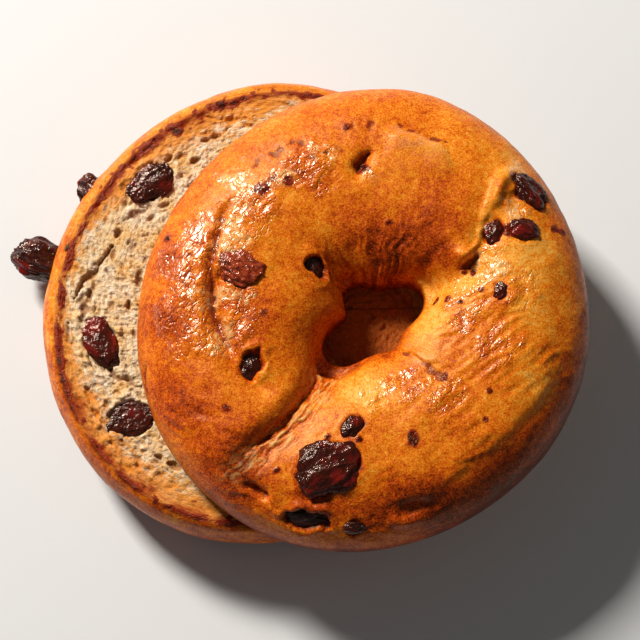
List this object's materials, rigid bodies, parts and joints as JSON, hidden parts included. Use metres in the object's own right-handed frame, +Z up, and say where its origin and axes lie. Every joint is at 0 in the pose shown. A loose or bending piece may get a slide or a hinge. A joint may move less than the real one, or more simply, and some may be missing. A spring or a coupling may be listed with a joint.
{
  "type": "sliced raisin bagel",
  "caption": "Ring-shaped raisin bagel sliced level in two: lower half cut face up, upper half crust up on it and slid aside to show a crescent of crumb.",
  "frame": {"origin": "centre of the part's outline seen from above, at the level of the flat base that it rests on", "axes": "+Z up out of the crust; +X along the longest side, from the open crescent of crumb towards the upper half's overhang; +Y across"},
  "size_m": [0.14, 0.1176, 0.0409],
  "materials": {
    "crust": "baked golden-brown bread crust with a broken sheen",
    "crumb": "matt, pale, open-pored bread crumb, toasted dark at the cut edge",
    "raisin": "dark red-brown wrinkled raisin, half gloss"
  },
  "bodies": {
    "root": {"bottom_half": "crumb", "top_half": "crust", "raisin_cut_upper": "raisin", "raisin_cut_left": "raisin", "raisin_cut_lower": "raisin", "raisin_side_upper": "raisin", "raisin_side_left": "raisin", "raisin_top_large": "raisin", "raisin_top_small": "raisin", "raisin_low_hollow": "raisin", "raisin_low": "raisin", "raisin_fold_hollow": "raisin", "raisin_under_skin": "raisin", "raisin_hole_side": "raisin", "raisin_right_long": "raisin", "raisin_right_oval": "raisin", "raisin_right_wrinkled": "raisin", "raisin_right_small": "raisin"}
  },
  "joints": []
}
